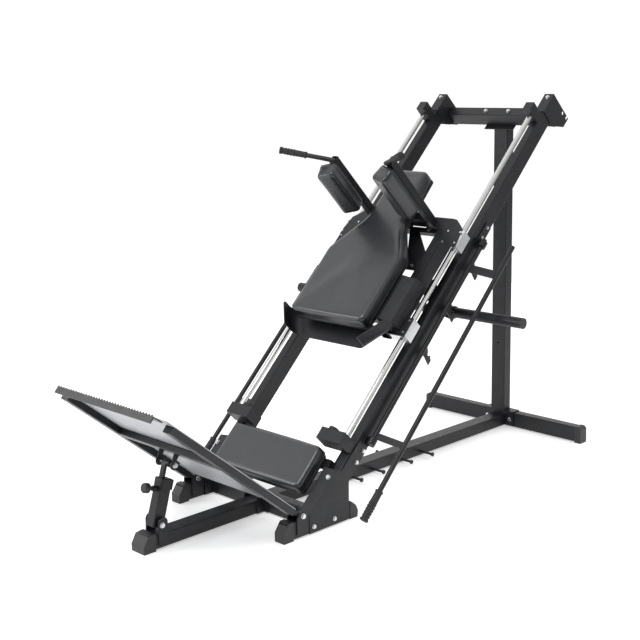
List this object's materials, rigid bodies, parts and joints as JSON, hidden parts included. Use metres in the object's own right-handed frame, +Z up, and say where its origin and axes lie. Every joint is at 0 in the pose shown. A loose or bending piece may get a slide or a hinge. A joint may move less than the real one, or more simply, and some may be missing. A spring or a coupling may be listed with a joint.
{
  "type": "hack squat machine",
  "caption": "Plate-loaded hack squat and leg press sled on two chrome rods, with a propped footplate, shoulder pads and safety levers.",
  "frame": {"origin": "floor level, on the plane of symmetry, at the middle of the machine's length", "axes": "+Z up, +Y from the footplate towards the rear upright, +X to the side of the right-hand rail as seen from behind"},
  "size_m": [1.38, 2.5771, 1.7481],
  "materials": {
    "black_steel": "satin",
    "grey_steel": "satin",
    "black_plastic": "matte",
    "black_rubber": "matte",
    "black_vinyl": "gloss",
    "black_board": "matte",
    "chrome": "polished",
    "aluminium": "satin",
    "zinc": "satin"
  },
  "bodies": {
    "frame": {"spine_front": "black_steel", "spine_rear": "black_steel", "spine_front_cap": "black_plastic", "front_crossbeam": "black_steel", "crossbeam_brackets": "black_steel", "side_foot_right": "black_steel", "side_foot_left": "black_steel", "side_foot_caps": "black_plastic", "gusset_right": "black_steel", "gusset_left": "black_steel", "rear_foot": "black_steel", "rear_foot_caps": "black_plastic", "band_pegs": "black_steel", "rail_right": "black_steel", "rail_left": "black_steel", "guide_rod_right": "chrome", "guide_rod_left": "chrome", "rod_blocks_upper": "black_steel", "rod_blocks_lower": "black_steel", "bump_stops": "black_rubber", "rail_heads": "black_steel", "top_crossbeam": "black_steel", "upright_post": "black_steel", "seat_pad": "black_vinyl", "seat_board": "black_board", "safety_bearings": "black_steel", "prop_clevis": "black_steel", "frame_bolts": "zinc", "hinge_bolts": "zinc"},
    "sled": {"sled_side_right": "black_steel", "sled_side_left": "black_steel", "sled_crossbars": "black_steel", "bearing_blocks": "aluminium", "pad_braces": "black_steel", "back_pad": "black_vinyl", "back_board": "black_board", "shoulder_arms": "black_steel", "shoulder_pad_right": "black_vinyl", "shoulder_pad_left": "black_vinyl", "handles": "black_steel", "handle_grips": "black_rubber", "foot_tray": "black_steel", "carrier_frame": "black_steel", "weight_horns": "black_steel", "horn_caps": "black_plastic", "sled_screws": "zinc"},
    "footplate": {"footplate_tube_right": "black_steel", "footplate_tube_left": "black_steel", "footplate_sheet": "grey_steel", "footplate_crossbar": "black_steel", "footplate_tread": "black_steel", "footplate_caps": "black_plastic", "prop_top_bolt": "zinc"},
    "prop_sleeve": {"prop_sleeve": "black_steel"},
    "prop_bar": {"prop_bar": "black_steel"},
    "pull_pin": {"pull_knob": "black_plastic"},
    "lever_right": {"safety_lever_right": "black_steel", "lever_grip_right": "black_rubber"},
    "lever_left": {"safety_lever_left": "black_steel", "lever_grip_left": "black_rubber"}
  },
  "joints": [
    {"name": "sled_slide", "type": "slide", "parent": "frame", "child": "sled", "axis": [0, 0.7071, 0.7071], "range_m": [-0.485, 0.68]},
    {"name": "safety_lever_right", "type": "hinge", "parent": "frame", "child": "lever_right", "pos_m": [0.375, 0.19739, 0.70511], "axis": [0, -0.7071, -0.7071], "range_deg": [0, 50]},
    {"name": "safety_lever_left", "type": "hinge", "parent": "frame", "child": "lever_left", "pos_m": [-0.375, 0.19739, 0.70511], "axis": [0, 0.7071, 0.7071], "range_deg": [0, 50]},
    {"name": "footplate_tilt", "type": "hinge", "parent": "frame", "child": "footplate", "pos_m": [0, -0.5855, 0.0905], "axis": [-1, 0, 0], "range_deg": [-3, 12]},
    {"name": "prop_swing", "type": "hinge", "parent": "frame", "child": "prop_sleeve", "pos_m": [0, -1.0455, 0.0985], "axis": [-1, 0, 0], "range_deg": [-2, 6.5]},
    {"name": "prop_extend", "type": "slide", "parent": "prop_sleeve", "child": "prop_bar", "axis": [0, 0.2723, 0.9622], "range_m": [-0.025, 0.095]},
    {"name": "pull_pin_draw", "type": "slide", "parent": "prop_sleeve", "child": "pull_pin", "axis": [0, -0.9622, 0.2723], "range_m": [0, 0.01], "stiffness_N_per_m": 400, "springref_m": -0.004}
  ],
  "couplings": [
    {"joint": "prop_swing", "follows": "footplate_tilt", "ratio": 0.5},
    {"joint": "prop_extend", "follows": "footplate_tilt", "m_per_rad": 0.4378}
  ]
}
